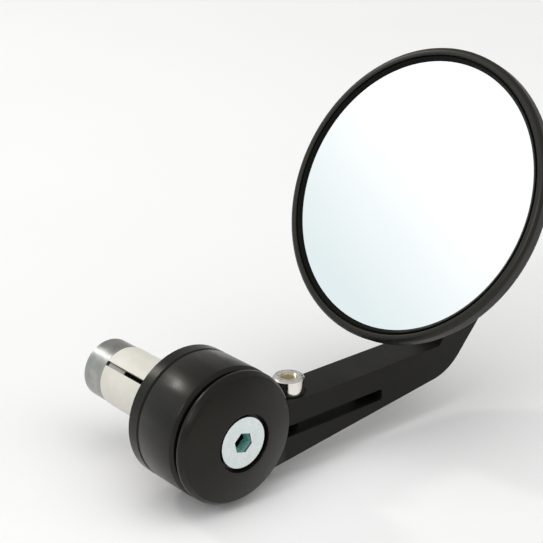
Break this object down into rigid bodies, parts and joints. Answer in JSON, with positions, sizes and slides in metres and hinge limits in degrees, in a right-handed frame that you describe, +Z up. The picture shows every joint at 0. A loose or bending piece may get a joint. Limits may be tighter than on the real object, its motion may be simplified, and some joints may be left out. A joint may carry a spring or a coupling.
{
  "type": "bar-end motorcycle mirror",
  "caption": "Round rear-view mirror on a ball joint, carried by a slit clamp arm that turns on an expanding plug for the end of a handlebar.",
  "frame": {"origin": "on the handlebar's axis, in the plane of the collar's back face, which seats against the bar end", "axes": "+X outward along the handlebar, +Y forward along the arm, +Z up; the glass faces back (-Y) and tilts up"},
  "size_m": [0.0903, 0.1268, 0.1027],
  "materials": {
    "black_anodised": "black anodised, satin",
    "zinc_plated": "zinc plated, satin",
    "bright_steel": "nickel plated, bright",
    "plain_steel": "turned",
    "acetal": "natural",
    "soft_rubber": "matt",
    "mirror_face": "silvered glass, slightly convex"
  },
  "bodies": {
    "plug": {"collar": "black_anodised", "expander_sleeve": "acetal", "wedge_nut": "plain_steel", "center_bolt": "zinc_plated", "end_cap": "black_anodised"},
    "arm": {"clamp_arm": "black_anodised", "clamp_screw": "bright_steel", "ball_stud": "bright_steel", "stud_washer": "plain_steel", "stud_nut": "plain_steel"},
    "liner": {"rear_liner": "acetal"},
    "seat": {"seat_block": "acetal", "disc_spring": "plain_steel"},
    "head": {"housing": "black_anodised", "socket_nut": "black_anodised", "socket_grub": "plain_steel", "glass_pad": "soft_rubber", "mirror_glass": "mirror_face", "glass_gasket": "soft_rubber", "bezel": "black_anodised"}
  },
  "joints": [
    {"name": "arm_swing", "type": "hinge", "parent": "plug", "child": "arm", "pos_m": [0.0112, 0, 0], "axis": [1, 0, 0], "continuous": true},
    {"name": "head_tilt", "type": "hinge", "parent": "arm", "child": "liner", "pos_m": [0.01245, 0.0798, 0.0419], "axis": [1, 0, 0], "range_deg": [-12, 12]},
    {"name": "head_turn", "type": "hinge", "parent": "liner", "child": "seat", "pos_m": [0.01245, 0.0798, 0.0419], "axis": [0, 0.4648, 0.8854], "range_deg": [-15, 9]},
    {"name": "head_spin", "type": "hinge", "parent": "seat", "child": "head", "pos_m": [0.01245, 0.0798, 0.0419], "axis": [0.0523, -0.8842, 0.4642], "continuous": true}
  ]
}
